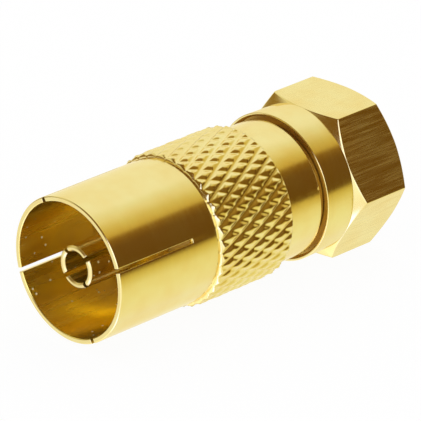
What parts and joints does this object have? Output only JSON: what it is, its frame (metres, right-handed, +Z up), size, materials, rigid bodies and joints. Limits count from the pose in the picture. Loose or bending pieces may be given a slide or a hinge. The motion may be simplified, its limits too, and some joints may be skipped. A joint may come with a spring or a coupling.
{
  "type": "coaxial adapter, F plug to aerial socket",
  "caption": "Gold-plated coaxial adapter with a slotted aerial socket, a diamond-knurled grip and a turning hexagonal coupling nut round a centre pin.",
  "frame": {"origin": "centre of the aerial socket's mouth, on the common axis", "axes": "+X along the axis from the socket's mouth towards the coupling nut, +Z up as the adapter lies on its side with a flat of the nut upwards"},
  "size_m": [0.028, 0.0128, 0.0114],
  "materials": {
    "body_gold": "bright gold plate",
    "nut_gold": "bright gold plate, finely brushed flats",
    "ferrule_gold": "gold plate",
    "contact_gold": "bright gold plate",
    "insulator_brown": "brown phenolic",
    "insulator_white": "natural white"
  },
  "bodies": {
    "adapter_body": {"socket_body": "body_gold", "ferrule": "ferrule_gold", "centre_contact": "contact_gold", "socket_insulator": "insulator_brown", "plug_insulator": "insulator_white"},
    "nut": {"coupling_nut": "nut_gold"}
  },
  "joints": [
    {"name": "nut_spin", "type": "hinge", "parent": "adapter_body", "child": "nut", "pos_m": [0.021, 0, 0], "axis": [1, 0, 0], "continuous": true}
  ]
}
